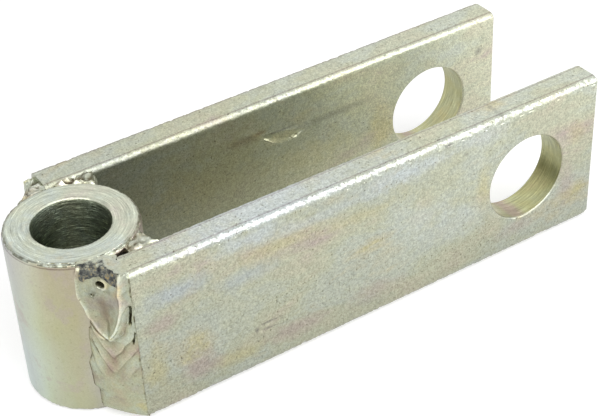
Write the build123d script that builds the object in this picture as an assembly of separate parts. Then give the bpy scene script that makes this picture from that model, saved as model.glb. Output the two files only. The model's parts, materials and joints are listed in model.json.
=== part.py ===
"""Welded clevis link end: two drilled flat-bar ears welded on either side of a short bored round hub.

Frame: the origin is on the hub's bore axis, halfway up the hub. +Z runs up the bore, +X runs from the
hub towards the pin holes in the ears, and +Y runs across the slot. Looking along +X, the right ear is on
the -Y side and the left ear on the +Y side. Sizes are in millimetres.
"""

import os
from math import cos, radians, sin, sqrt

from build123d import *

# ---- hub: a length of round bar, faced at both ends and bored right through
HUB_DIAMETER = 30.0
HUB_LENGTH = 41.0
HUB_BORE = 17.5
HUB_RIM_CHAMFER = 0.7
BORE_MOUTH_CHAMFER = 0.5

# ---- ears: two equal pieces of rolled flat bar
BAR_WIDTH = 40.0
BAR_THICKNESS = 8.0
BAR_CORNER_RADIUS = 1.0  # rolled corners along the bar
BAR_CUT_RADIUS = 0.5  # tumbled corners where the bar was cut to length
EAR_RAISE = 0.2  # the ears' middle line is this far above the hub's
EAR_SETBACK = 1.5  # from the hub's axis to the ears' square ends at the hub
HUB_SIDE_GAP = 0.25  # between the hub and each ear: an easy fit, before welding

# ---- pin holes, drilled in line through both ears
PIN_HOLE = 22.0
PIN_REACH = 106.5  # from the hub's axis to the pin's axis
PIN_END_MARGIN = 20.5  # from the pin's axis to the ears' free ends
PIN_HOLE_CHAMFER = 0.35

# ---- outer weld beads, which fill the notch between each ear's square end and the round hub
OUTER_TOE_ANGLE = 21.0  # how far round the hub each bead reaches, from straight out sideways
OUTER_TOE_DROP = 0.4  # how far each bead stops below the ear's outer face
OUTER_CROWN = 1.0  # how far the bead bulges over a flat fill
OUTER_RIPPLE_PITCH = 4.2
OUTER_RIPPLE_POINT = 7.5  # how far each chevron's point hangs below its ends
OUTER_RIPPLE_TILT = 6.0
OUTER_END_GAP = 0.4  # the bead stops this far short of the bar's edges

# ---- the last pool of each outer bead, at its top: a pointed tongue with a sunken middle and a gas pore
TONGUE_LENGTH = 18.0  # from the bar's upper edge down to the tongue's tip
TONGUE_WIDTH = 9.0
TONGUE_PROUD = 0.55  # how far its rim stands above the bead below
TONGUE_RIM = 1.1  # the rim left round the sunken middle, measured across
CRATER_DEPTH = 1.1
PORE_DIAMETER = 1.6
PORE_DEPTH = 2.2
PORE_DROP = 3.7  # below the bar's upper edge

# ---- inner weld beads, in the corners where the back of the hub meets the ears
INNER_ROOT_OPENING = 2.8  # the bead starts where the wedge between hub and ear is this wide
INNER_LEG = 4.5  # how far each bead runs along the ear
INNER_TOE_ANGLE = 41.0  # how far round the back of the hub each bead reaches, from the ear's direction
INNER_CROWN = -0.55  # a hollow fillet
INNER_RIPPLE_PITCH = 3.0
INNER_RIPPLE_POINT = 1.5
INNER_RIPPLE_TILT = 4.0
INNER_END_GAP = 1.0

# ---- sizes that follow
HUB_RADIUS = HUB_DIAMETER / 2
EAR_INNER_Y = HUB_RADIUS + HUB_SIDE_GAP
EAR_OUTER_Y = EAR_INNER_Y + BAR_THICKNESS
EAR_END_X = PIN_REACH + PIN_END_MARGIN
EAR_TOP = EAR_RAISE + BAR_WIDTH / 2
EAR_BOTTOM = EAR_RAISE - BAR_WIDTH / 2
EAR_MIDDLE_Y = EAR_INNER_Y + BAR_THICKNESS / 2
INNER_ROOT_X = sqrt(HUB_RADIUS**2 - (EAR_INNER_Y - INNER_ROOT_OPENING) ** 2)
REACH_PAST = 4 * (HUB_DIAMETER + BAR_THICKNESS)  # longer than any tool solid has to be


def make_hub():
    """The round hub, with a plain bore right through."""
    hub = Cylinder(HUB_RADIUS, HUB_LENGTH)
    hub = chamfer(hub.edges().filter_by(GeomType.CIRCLE), HUB_RIM_CHAMFER)
    hub -= Cylinder(HUB_BORE / 2, HUB_LENGTH)
    mouths = hub.edges().filter_by(GeomType.CIRCLE).filter_by(lambda edge: edge.radius < HUB_BORE / 2 + 0.01)
    return chamfer(mouths, BORE_MOUTH_CHAMFER)


def make_right_ear():
    """The right ear: flat bar with rolled corners, cut square and drilled for the pin."""
    length = EAR_END_X - EAR_SETBACK
    centre = Pos(EAR_SETBACK + length / 2, -EAR_MIDDLE_Y, EAR_RAISE)
    ear = centre * Box(length, BAR_THICKNESS, BAR_WIDTH)
    ear = fillet(ear.edges().filter_by(Axis.X), BAR_CORNER_RADIUS)
    ear = fillet(ear.faces().sort_by(Axis.X)[-1].edges(), BAR_CUT_RADIUS)
    drill_axis = Pos(PIN_REACH, -EAR_MIDDLE_Y, EAR_RAISE) * Rot(90, 0, 0)
    ear -= drill_axis * Cylinder(PIN_HOLE / 2, 2 * BAR_THICKNESS)
    rims = ear.edges().filter_by(GeomType.CIRCLE).filter_by(lambda edge: edge.radius > PIN_HOLE / 2 - 0.01)
    return chamfer(rims, PIN_HOLE_CHAMFER)


def chevron_edge(half_width, height, point):
    """One ripple's pointed lower edge, as two bowed arcs that meet at its tip."""
    bow = half_width * 0.62
    left = ThreePointArc((-half_width, height + point), (-bow, height + point * 0.5), (0, height))
    right = ThreePointArc((0, height), (bow, height + point * 0.5), (half_width, height + point))
    return left + right


def chevron_band(frame, half_width, low, high, point):
    """A solid slab across the bead, whose lower and upper edges both have the ripple's pointed form."""
    lower = chevron_edge(half_width, low, point)
    upper = chevron_edge(half_width, high, point)
    sides = [Line(lower @ 0, upper @ 0), Line(lower @ 1, upper @ 1)]
    outline = make_face(Curve() + [lower, upper, *sides])
    return extrude(frame * outline, REACH_PAST / 4, both=True)


def rippled_bead(toe_on_hub, toe_on_ear, crown, pitch, point, tilt, low, high):
    """The metal under a weld's face, which runs from one toe to the other, stepped in chevron ripples.

    The face is a row of shallow cylinders, one for each ripple. Each leans out towards its lower edge, so
    that it stands proud of the ripple below. A negative crown makes a hollow face.
    """
    across = Vector(toe_on_ear[0] - toe_on_hub[0], toe_on_ear[1] - toe_on_hub[1], 0)
    outward = Vector(across.Y, -across.X, 0).normalized()
    middle = ((toe_on_hub[0] + toe_on_ear[0]) / 2, (toe_on_hub[1] + toe_on_ear[1]) / 2, 0)
    frame = Plane(origin=middle, x_dir=across, z_dir=outward)
    half_chord = across.length / 2
    curve_radius = (half_chord**2 + crown**2) / (2 * abs(crown))
    half_width = half_chord + pitch
    rise = 1 if frame.y_dir.Z > 0 else -1
    bead = None
    height = low - point - pitch
    while height < high:
        band = chevron_band(frame, half_width, rise * height, rise * (height + pitch * 1.15), rise * point)
        lean = Pos(0, rise * (height + pitch / 2 + point / 2), 0) * Rot(-rise * tilt, 0, 0)
        upright = Rot(90, 0, 0) * Cylinder(curve_radius, REACH_PAST)
        if crown > 0:
            face = frame * (lean * (Pos(0, 0, crown - curve_radius) * upright))
            ripple = band & face
        else:
            slab = Pos(0, 0, -REACH_PAST / 2) * Box(REACH_PAST, REACH_PAST, REACH_PAST)
            face = frame * (lean * (slab - Pos(0, 0, crown + curve_radius) * upright))
            ripple = band & face
        bead = ripple if bead is None else bead + ripple
        height += pitch
    return bead


def between(low, high):
    """All space between two heights."""
    return Pos(0, 0, (low + high) / 2) * Box(REACH_PAST, REACH_PAST, high - low)


def make_right_outer_weld():
    """The bead in front of the right ear, from the hub's side round to the ear's outer face.

    Its top is the last pool that froze: a tongue with a rim that stands proud and a boat-shaped hollow.
    """
    turn = radians(OUTER_TOE_ANGLE)
    toe_on_hub = (-HUB_RADIUS * sin(turn), -HUB_RADIUS * cos(turn))
    toe_on_ear = (EAR_SETBACK, -(EAR_OUTER_Y - OUTER_TOE_DROP))
    low, high = EAR_BOTTOM + OUTER_END_GAP, EAR_TOP - OUTER_END_GAP
    bead = rippled_bead(
        toe_on_hub, toe_on_ear, OUTER_CROWN, OUTER_RIPPLE_PITCH, OUTER_RIPPLE_POINT, OUTER_RIPPLE_TILT, low, high
    )

    across = Vector(toe_on_ear[0] - toe_on_hub[0], toe_on_ear[1] - toe_on_hub[1], 0)
    outward = Vector(across.Y, -across.X, 0).normalized()
    middle_x, middle_y = (toe_on_hub[0] + toe_on_ear[0]) / 2, (toe_on_hub[1] + toe_on_ear[1]) / 2
    face = Plane(origin=(middle_x, middle_y, EAR_TOP), x_dir=(0, 0, -1), z_dir=outward)
    rim_height = OUTER_CROWN + TONGUE_PROUD
    rim_radius = (TONGUE_WIDTH**2 / 4 + rim_height**2) / (2 * rim_height)
    half = TONGUE_WIDTH / 2
    tip = (TONGUE_LENGTH, 0)
    left_side = ThreePointArc((-half, half * 0.75), (TONGUE_LENGTH * 0.45, half * 0.97), tip)
    right_side = ThreePointArc((-half, -half * 0.75), (TONGUE_LENGTH * 0.45, -half * 0.97), tip)
    outline = make_face(Curve() + [left_side, right_side, Line(left_side @ 0, right_side @ 0)])
    tongue = extrude(face * outline, rim_height + half, both=True)
    barrel = Rot(0, 90, 0) * Cylinder(rim_radius, REACH_PAST)
    tongue &= face * (Pos(0, 0, rim_height - rim_radius) * barrel)
    bead += tongue

    notch = Pos(EAR_SETBACK - REACH_PAST / 2, -REACH_PAST / 2, 0) * Box(REACH_PAST, REACH_PAST, 2 * REACH_PAST)
    bead = bead & notch & between(low, high)
    bead -= Cylinder(HUB_RADIUS, 2 * REACH_PAST)

    hollow_half = half - TONGUE_RIM
    hollow_reach = TONGUE_LENGTH / 2 - TONGUE_RIM
    cross_radius = (hollow_half**2 + CRATER_DEPTH**2) / (2 * CRATER_DEPTH)
    along_radius = (hollow_reach**2 + CRATER_DEPTH**2) / (2 * CRATER_DEPTH)
    ring = Rot(90, 0, 0) * Torus(along_radius - cross_radius, cross_radius)
    hollow = Pos(TONGUE_LENGTH / 2, 0, rim_height - CRATER_DEPTH + along_radius) * ring
    bead -= face * hollow
    bead -= face * (Pos(PORE_DROP, 0, rim_height - PORE_DEPTH) * Cylinder(PORE_DIAMETER / 2, PORE_DEPTH * 1.5))
    return bead.solids().sort_by(SortBy.VOLUME)[-1]


def make_right_inner_weld():
    """The hollow fillet in the corner between the back of the hub and the right ear's inner face."""
    turn = radians(INNER_TOE_ANGLE)
    toe_on_hub = (HUB_RADIUS * cos(turn), -HUB_RADIUS * sin(turn))
    toe_on_ear = (INNER_ROOT_X + INNER_LEG, -EAR_INNER_Y)
    low, high = EAR_BOTTOM + INNER_END_GAP, EAR_TOP - INNER_END_GAP
    bead = rippled_bead(
        toe_on_ear, toe_on_hub, INNER_CROWN, INNER_RIPPLE_PITCH, INNER_RIPPLE_POINT, INNER_RIPPLE_TILT, low, high
    )
    corner = Pos(INNER_ROOT_X + REACH_PAST / 2, -EAR_INNER_Y + REACH_PAST / 2, 0)
    bead = bead & corner * Box(REACH_PAST, REACH_PAST, 2 * REACH_PAST) & between(low, high)
    bead -= Cylinder(HUB_RADIUS, 2 * REACH_PAST)
    return bead.solids().sort_by(SortBy.VOLUME)[-1]


def write(shape, node):
    """Writes one node and prints its size."""
    export_step(shape, f"parts/{node}.step")
    print(node, "volume", round(shape.volume, 1), "solids", len(shape.solids()))


os.makedirs("parts", exist_ok=True)
write(make_hub(), "hub")
right_pieces = {
    "ear": make_right_ear(),
    "outer_weld": make_right_outer_weld(),
    "inner_weld": make_right_inner_weld(),
}
for name, piece in right_pieces.items():
    write(piece, f"right_{name}")
    write(mirror(piece, Plane.XZ), f"left_{name}")
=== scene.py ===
# %% [markdown]
# # A welded clevis end, from flat bar and a bored hub
#
# This lesson dresses a small steel weldment: two drilled flat bars, the ears, are welded on either side
# of a short bored round hub, and the whole thing is zinc plated. The measured solids are loaded first and
# stay as they are. Every piece we model is laid over one of them, in metres, with Z up along the bore and
# X running from the hub to the pin holes.

# %% Load the measured frame
import itertools
import json
import math

import bmesh
import bpy
import numpy as np
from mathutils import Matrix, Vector

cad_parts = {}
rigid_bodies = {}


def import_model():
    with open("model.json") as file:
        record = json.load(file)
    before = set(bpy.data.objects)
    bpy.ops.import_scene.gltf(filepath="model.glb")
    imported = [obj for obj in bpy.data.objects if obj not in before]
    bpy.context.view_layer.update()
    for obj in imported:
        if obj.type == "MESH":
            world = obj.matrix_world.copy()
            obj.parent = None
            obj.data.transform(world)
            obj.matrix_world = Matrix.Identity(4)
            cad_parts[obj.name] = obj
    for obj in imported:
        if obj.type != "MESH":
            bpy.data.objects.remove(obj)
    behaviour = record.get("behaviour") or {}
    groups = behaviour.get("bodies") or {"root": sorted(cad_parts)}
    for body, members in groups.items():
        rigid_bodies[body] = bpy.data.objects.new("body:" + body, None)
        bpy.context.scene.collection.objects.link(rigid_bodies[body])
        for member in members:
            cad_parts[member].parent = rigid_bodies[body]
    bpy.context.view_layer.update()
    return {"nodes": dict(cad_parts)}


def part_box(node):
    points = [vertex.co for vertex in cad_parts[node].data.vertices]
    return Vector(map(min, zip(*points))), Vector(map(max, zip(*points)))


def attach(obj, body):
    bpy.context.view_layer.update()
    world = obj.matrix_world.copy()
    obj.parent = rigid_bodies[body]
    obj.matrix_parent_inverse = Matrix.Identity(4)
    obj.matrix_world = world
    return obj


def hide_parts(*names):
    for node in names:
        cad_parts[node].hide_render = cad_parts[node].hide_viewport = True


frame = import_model()
MM = 0.001
print("frame loaded:", sorted(frame["nodes"]))

# %% [markdown]
# ## Sizes
#
# The solids already know where everything is, so we read the sizes off them instead of typing them twice.
# The few sizes that a box can't tell, such as the radii, are written down here once.

# %% Sizes read from the solids
hub_low, hub_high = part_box("hub")
bar_low, bar_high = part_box("right_ear")
left_low, left_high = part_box("left_ear")
HUB_RADIUS = 15.0 * MM
BORE_RADIUS = 8.75 * MM
PIN_RADIUS = 11.0 * MM
PIN_X = 106.5 * MM
BAR_MIDDLE_Z = (bar_low.z + bar_high.z) / 2
BAR_START = bar_low.x
BAR_END = bar_high.x
SLOT_HALF = left_low.y
BAR_OUTER = left_high.y
print("bar", [round(v / MM, 2) for v in (BAR_START, BAR_END, SLOT_HALF, BAR_OUTER)])

# %% [markdown]
# ## Small helpers
#
# Operators act on whatever is selected, so each step begins by deselecting everything. A finished piece
# has its place in its mesh and its object at the origin. These helpers do just that, and some of them
# pick edges or faces by where they are, because a script can't click.

# %% Helpers for selecting
def deselect_all():
    for item in bpy.context.view_layer.objects:
        item.select_set(False)


def pick(piece):
    deselect_all()
    piece.select_set(True)
    bpy.context.view_layer.objects.active = piece


def start_selecting(piece, kind):
    """Turns edit mode on with nothing selected, and gives the mesh that is being edited."""
    pick(piece)
    bpy.ops.object.mode_set(mode="EDIT")
    bpy.ops.mesh.select_mode(type=kind)
    bpy.ops.mesh.select_all(action="DESELECT")
    return bmesh.from_edit_mesh(piece.data)


def select_edges(piece, wanted):
    """Selects the edges for which wanted(first end, second end) is true, and leaves edit mode on."""
    mesh = start_selecting(piece, "EDGE")
    for edge in mesh.edges:
        first, second = edge.verts
        edge.select = bool(wanted(first.co, second.co))
    mesh.select_flush_mode()
    bmesh.update_edit_mesh(piece.data)


def select_faces(piece, wanted):
    """Selects the faces for which wanted(centre, normal) is true, and leaves edit mode on."""
    mesh = start_selecting(piece, "FACE")
    for face in mesh.faces:
        face.select = bool(wanted(face.calc_center_median(), face.normal))
    mesh.select_flush_mode()
    bmesh.update_edit_mesh(piece.data)


# %% Helpers that cut, bevel and subdivide
def subdivide_edges(piece, wanted, cuts):
    select_edges(piece, wanted)
    bpy.ops.mesh.subdivide(number_cuts=cuts)
    bpy.ops.object.mode_set(mode="OBJECT")


def bevel_edges(piece, wanted, width, steps, profile=0.5):
    select_edges(piece, wanted)
    bpy.ops.mesh.bevel(offset=width, segments=steps, profile=profile)
    bpy.ops.object.mode_set(mode="OBJECT")


def cut_across(piece, point, normal):
    """Cuts the whole mesh with a plane and keeps both sides, to add a line of edges."""
    pick(piece)
    bpy.ops.object.mode_set(mode="EDIT")
    bpy.ops.mesh.select_all(action="SELECT")
    bpy.ops.mesh.bisect(plane_co=point, plane_no=normal)
    bpy.ops.object.mode_set(mode="OBJECT")


# %% Helpers that move vertices and set the shading
def vertex_places(piece):
    places = np.empty(len(piece.data.vertices) * 3)
    piece.data.vertices.foreach_get("co", places)
    return places.reshape(-1, 3)


def move_vertices(piece, places):
    piece.data.vertices.foreach_set("co", np.asarray(places, float).ravel())
    piece.data.update()


def face_outwards(piece):
    pick(piece)
    bpy.ops.object.mode_set(mode="EDIT")
    bpy.ops.mesh.select_all(action="SELECT")
    bpy.ops.mesh.normals_make_consistent(inside=False)
    bpy.ops.object.mode_set(mode="OBJECT")


def smooth_to(piece, degrees):
    pick(piece)
    bpy.ops.object.shade_smooth_by_angle(angle=math.radians(degrees))


# %% A helper that hands a finished piece over
def finish_piece(piece, name, node):
    """Names a piece, puts its place into its mesh, hangs it on the root body, and hides the node it stands
    for.
    """
    pick(piece)
    bpy.ops.object.transform_apply(location=True, rotation=True, scale=True)
    piece.name = name
    piece.data.name = name
    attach(piece, "root")
    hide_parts(node)
    print(name, "has", len(piece.data.polygons), "faces")


# %% [markdown]
# ## Bumps that come out the same every time
#
# Steel off a rolling mill isn't perfectly smooth. To roughen a mesh we need noise that is smooth, has no
# direction, and is the same on each run. Value noise does it: random numbers on a fixed lattice, blended
# between the lattice points. It works on any list of points at once.

# %% A lattice of fixed random numbers
LATTICE_SIZE = 64
LATTICE = np.random.default_rng(7).uniform(-1.0, 1.0, (LATTICE_SIZE,) * 3)


def value_noise(points, cell):
    """Smooth noise from -1 to 1 at each point, with features about one cell across."""
    scaled = np.asarray(points, float) / cell + 1000.0
    base = np.floor(scaled).astype(int)
    part = scaled - base
    part = part * part * (3 - 2 * part)
    total = np.zeros(len(scaled))
    for corner in itertools.product((0, 1), repeat=3):
        near = np.abs(1 - np.array(corner) - part)
        column, row, layer = ((base + corner) % LATTICE_SIZE).T
        total += near[:, 0] * near[:, 1] * near[:, 2] * LATTICE[column, row, layer]
    return total


def smooth_step(values, start, stop):
    part = np.clip((values - start) / (stop - start), 0.0, 1.0)
    return part * part * (3 - 2 * part)


print("noise at two points:", value_noise([[0, 0, 0], [0.01, 0, 0]], 2 * MM).round(3))

# %% [markdown]
# ## The ears
#
# Each ear is a length of hot-rolled flat bar: flat faces, rounded corners along its length, and a sawn
# end. We start from a cube of the bar's size. Two cuts near each long edge hold the flat faces flat when
# the edge is rounded, a bevel rolls the corners, and a smaller bevel breaks the free end. Then the long
# edges are subdivided into short strips, so that there is mesh enough to roughen the corners.

# %% Make one plain bar
CORNER_RADIUS = 1.5 * MM
END_RADIUS = 0.5 * MM
HOLD = 1.8 * MM
STRIP_CUTS = (19, 19)
MIDDLE_Y = -(SLOT_HALF + BAR_OUTER) / 2


def make_bar():
    deselect_all()
    centre = ((BAR_START + BAR_END) / 2, MIDDLE_Y, BAR_MIDDLE_Z)
    bpy.ops.mesh.primitive_cube_add(size=1, location=centre)
    bar = bpy.context.object
    bar.scale = (BAR_END - BAR_START, bar_high.y - bar_low.y, bar_high.z - bar_low.z)
    bpy.ops.object.transform_apply(location=True, rotation=True, scale=True)
    for z in (bar_low.z + HOLD, bar_high.z - HOLD):
        cut_across(bar, (0, 0, z), (0, 0, 1))
    for y in (bar_low.y + HOLD, bar_high.y - HOLD):
        cut_across(bar, (0, y, 0), (0, 1, 0))
    cut_across(bar, (BAR_END - HOLD, 0, 0), (1, 0, 0))

    def on_corner(first, second):
        along = abs(first.x - second.x) > 1e-6
        y_side = min(abs(first.y - bar_low.y), abs(first.y - bar_high.y)) < 1e-6
        z_side = min(abs(first.z - bar_low.z), abs(first.z - bar_high.z)) < 1e-6
        return along and y_side and z_side

    bevel_edges(bar, on_corner, CORNER_RADIUS, 6)

    def round_the_end(first, second):
        at_end = abs(first.x - BAR_END) < 1e-6 and abs(second.x - BAR_END) < 1e-6
        middle = (first + second) / 2
        inside_y = bar_low.y + CORNER_RADIUS * 0.3 < middle.y < bar_high.y - CORNER_RADIUS * 0.3
        inside_z = bar_low.z + CORNER_RADIUS * 0.3 < middle.z < bar_high.z - CORNER_RADIUS * 0.3
        return at_end and not (inside_y and inside_z)

    bevel_edges(bar, round_the_end, END_RADIUS, 3)
    for cuts in STRIP_CUTS:
        subdivide_edges(bar, lambda first, second: abs(first.x - second.x) > 3 * MM, cuts)
    print("plain bar:", len(bar.data.vertices), "vertices")
    return bar


right_bar = make_bar()

# %% [markdown]
# ## The pin hole
#
# A drilled hole with its sharp edge knocked off is easiest to cut with a tool of the same form: a
# cylinder that flares at the bar's faces. We make the cutter from a cylinder, flare its rings in edit
# mode, and take it away from the bar with a Boolean modifier.

# %% Cut the pin hole
FLARE_DEPTHS = (0.0, 0.12, 0.35)
FLARE_WIDTHS = (0.35, 0.14, 0.0)
CUTTER_LENGTH = 20 * MM


def flared_cutter():
    """A drill with a flare at each face of the bar. Depths and widths of the flare are in millimetres."""
    deselect_all()
    bpy.ops.mesh.primitive_cylinder_add(
        vertices=160, radius=PIN_RADIUS, depth=CUTTER_LENGTH, location=(PIN_X, MIDDLE_Y, BAR_MIDDLE_Z),
        rotation=(math.pi / 2, 0, 0), end_fill_type="NGON",
    )
    cutter = bpy.context.object
    bpy.ops.object.transform_apply(location=True, rotation=True, scale=True)
    for face_y, inward in ((bar_low.y, 1), (bar_high.y, -1)):
        for depth in FLARE_DEPTHS:
            cut_across(cutter, (0, face_y + inward * depth * MM, 0), (0, 1, 0))
    places = vertex_places(cutter)
    depth_in = np.minimum(places[:, 1] - bar_low.y, bar_high.y - places[:, 1]) / MM
    flare = np.interp(depth_in, FLARE_DEPTHS, FLARE_WIDTHS) * MM
    spokes = places[:, [0, 2]] - (PIN_X, BAR_MIDDLE_Z)
    places[:, [0, 2]] = (PIN_X, BAR_MIDDLE_Z) + spokes * (1 + flare / PIN_RADIUS)[:, None]
    move_vertices(cutter, places)
    return cutter


cutter = flared_cutter()
pick(right_bar)
drill = right_bar.modifiers.new("pin hole", "BOOLEAN")
drill.operation = "DIFFERENCE"
drill.solver = "EXACT"
drill.object = cutter
bpy.ops.object.modifier_apply(modifier=drill.name)
bpy.data.objects.remove(cutter)
print("drilled bar:", len(right_bar.data.vertices), "vertices")

# %% [markdown]
# ## The second ear
#
# The left ear is the same bar on the other side of the slot, so it is copied with its own mesh and
# mirrored. A mirror turns the faces inside out, so their normals are made to point outwards again.

# %% Copy the bar to the other side
pick(right_bar)
bpy.ops.object.duplicate(linked=False)
left_bar = bpy.context.object
places = vertex_places(left_bar)
places[:, 1] *= -1
move_vertices(left_bar, places)
face_outwards(left_bar)
print("left bar:", len(left_bar.data.vertices), "vertices")

# %% [markdown]
# ## Rough corners and dents
#
# Mill scale leaves the rolled corners ragged, which breaks up the light along them. We push the corner
# vertices inwards by a tenth of a millimetre or two, and by half of that on the corners beside the slot,
# which are sheltered. Deeper marks, such as a gouge with a raised lip or a thumbnail dent, need a finer
# mesh: we cut a small window in the face, subdivide it, and then move its vertices like clay.

# %% Roughen the corners
FINE_RAGGEDNESS = 0.20
COARSE_RAGGEDNESS = 0.14
SHELTERED_SHARE = 0.45


def roughen_corners(bar, side):
    places = vertex_places(bar)
    out = np.abs(places[:, 1])
    y_gap = np.minimum(np.abs(out - SLOT_HALF), np.abs(out - BAR_OUTER))
    z_gap = np.minimum(places[:, 2] - bar_low.z, bar_high.z - places[:, 2])
    near_corner = (y_gap < CORNER_RADIUS) & (z_gap < CORNER_RADIUS)
    ragged = value_noise(places, 0.6 * MM) * FINE_RAGGEDNESS
    ragged += value_noise(places + 0.3, 1.7 * MM) * COARSE_RAGGEDNESS
    share = np.where(out > (SLOT_HALF + BAR_OUTER) / 2, 1.0, SHELTERED_SHARE)
    push = np.where(near_corner, ragged * share, 0.0) * MM
    outwards = np.zeros_like(places)
    outwards[:, 1] = np.sign(places[:, 1] - side * (SLOT_HALF + BAR_OUTER) / 2)
    outwards[:, 2] = np.sign(places[:, 2] - BAR_MIDDLE_Z)
    move_vertices(bar, places - np.abs(push)[:, None] * outwards * 0.8)


roughen_corners(right_bar, -1)
roughen_corners(left_bar, 1)
print("corners roughened on both bars")


# %% Open a window of fine mesh where each mark will be
def open_window(bar, y_face, x_range, z_range, rows):
    for z in z_range:
        cut_across(bar, (0, 0, z), (0, 0, 1))
    low_x, high_x = x_range
    low_z, high_z = z_range

    def upright_in_window(first, second):
        middle = (first + second) / 2
        on_face = abs(middle.y - y_face) < 1e-5
        inside = low_x < middle.x < high_x and low_z < middle.z < high_z
        return on_face and inside and abs(first.z - second.z) > 1 * MM

    subdivide_edges(bar, upright_in_window, rows)


open_window(left_bar, SLOT_HALF, (50 * MM, 72 * MM), (5 * MM, 16 * MM), 44)
open_window(right_bar, -BAR_OUTER, (27 * MM, 40 * MM), (-14 * MM, -5 * MM), 30)
print("left bar:", len(left_bar.data.vertices), "vertices")


# %% Strike the gouge in the left ear
GOUGE_START, GOUGE_STOP = (57.0, 10.6), (69.0, 8.8)
TAIL_START, TAIL_STOP = (54.0, 14.0), (58.8, 9.6)
LIP_HEIGHT = 0.55
TROUGH_DEPTH = 0.07
TAIL_DEPTH = 0.18


def along_line(places, start, stop):
    """How far along and how far to the side of a line each point lies, seen square to the bar."""
    line = np.array(stop) - np.array(start)
    length = np.hypot(*line)
    unit = line / length
    offset = places[:, [0, 2]] / MM - np.array(start)
    return offset @ unit / length, offset @ np.array([-unit[1], unit[0]])


def bell(values, width):
    return np.exp(-((values / width) ** 2))


places = vertex_places(left_bar)
on_face = np.abs(places[:, 1] - SLOT_HALF) < 0.02 * MM
share, across = along_line(places, GOUGE_START, GOUGE_STOP)
reach = smooth_step(share, -0.02, 0.10) * (1 - smooth_step(share, 0.80, 1.02))
torn_edge = 0.22 * value_noise(places, 0.8 * MM)
lower_edge = -2.3 * np.sin(np.clip(share, 0, 1) * math.pi) ** 0.8 + torn_edge
upper_edge = 0.9 * (1 - np.clip(share, 0, 1))
slope = np.clip((upper_edge - across) / np.maximum(upper_edge - lower_edge, 0.2), 0, 1)
lip = LIP_HEIGHT * slope**2.2 * smooth_step(across, lower_edge - 0.22, lower_edge + 0.02)
trough = TROUGH_DEPTH * bell(across - upper_edge - 0.25, 0.3)
tail_share, tail_across = along_line(places, TAIL_START, TAIL_STOP)
tail = bell(tail_across, 0.35) * smooth_step(tail_share, 0, 0.3) * (1 - smooth_step(tail_share, 0.8, 1.0))
places[:, 1] += np.where(on_face, (-(lip - trough) * reach + TAIL_DEPTH * tail) * MM, 0.0)
move_vertices(left_bar, places)
print("gouge: its lip stands", LIP_HEIGHT, "mm proud")

# %% Press the dent into the right ear
DENT_START, DENT_STOP = (29.9, -9.0), (39.0, -8.6)
DENT_LENGTH = 9.1
DENT_DEPTH = 0.22
DENT_HALF_WIDTH = 0.85
ROUND_START = 0.2

places = vertex_places(right_bar)
on_face = np.abs(places[:, 1] + BAR_OUTER) < 0.02 * MM
share, across = along_line(places, DENT_START, DENT_STOP)
before_end = (np.minimum(share, ROUND_START) - ROUND_START) * DENT_LENGTH
off_edge = np.hypot(before_end, across) - DENT_HALF_WIDTH
groove = bell(off_edge, 0.30) * (1 - smooth_step(share, 0.25, 0.95))
places[:, 1] += np.where(on_face, DENT_DEPTH * groove * MM, 0.0)
move_vertices(right_bar, places)
for bar in (right_bar, left_bar):
    smooth_to(bar, 26)
print("dent:", DENT_DEPTH, "mm deep")

# %% [markdown]
# ## The hub
#
# The hub is a faced length of round bar, bored through. A cylinder gives the outside; its two end faces
# are inset to the bore and bridged, which leaves a tube. The rims are bevelled as a file would leave
# them. Rings a few hundredths of a millimetre deep are then pressed into the end faces, because a facing
# tool leaves rings there, and the broken rims are worn uneven by a tenth or two.

# %% Turn and bore the hub
deselect_all()
bpy.ops.mesh.primitive_cylinder_add(
    vertices=256, radius=HUB_RADIUS, depth=hub_high.z - hub_low.z, location=(0, 0, 0), end_fill_type="NGON"
)
hub_body = bpy.context.object
select_faces(hub_body, lambda centre, normal: abs(normal.z) > 0.9)
bpy.ops.mesh.inset(thickness=HUB_RADIUS - BORE_RADIUS)
bpy.ops.mesh.bridge_edge_loops()
bpy.ops.object.mode_set(mode="OBJECT")
print("hub tube:", len(hub_body.data.polygons), "faces")

# %% Break the hub's rims
RIM_CHAMFER = 0.85 * MM
MOUTH_CHAMFER = 0.5 * MM
RIM_BAND = 1.4 * MM


def off_the_ends(point):
    """How far a point lies from the nearer end face."""
    return min(abs(point.z - hub_low.z), abs(point.z - hub_high.z))


def is_level(first, second):
    return abs(first.z - second.z) < 1e-6 and off_the_ends(first) < 1e-6


def from_axis_of(point):
    return math.hypot(point.x, point.y)


for z in (hub_low.z + RIM_BAND, hub_high.z - RIM_BAND):
    cut_across(hub_body, (0, 0, z), (0, 0, 1))
for radius, width, steps in ((HUB_RADIUS, RIM_CHAMFER, 4), (BORE_RADIUS, MOUTH_CHAMFER, 3)):

    def on_rim(first, second):
        on_circle = all(abs(from_axis_of(point) - radius) < 1e-6 for point in (first, second))
        return is_level(first, second) and on_circle

    bevel_edges(hub_body, on_rim, width, steps, 0.42)
print("hub with broken rims:", len(hub_body.data.polygons), "faces")


# %% Press in the facing rings and wear the rims
def across_the_face(first, second):
    return is_level(first, second) and abs(from_axis_of(first) - from_axis_of(second)) > 2 * MM


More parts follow.
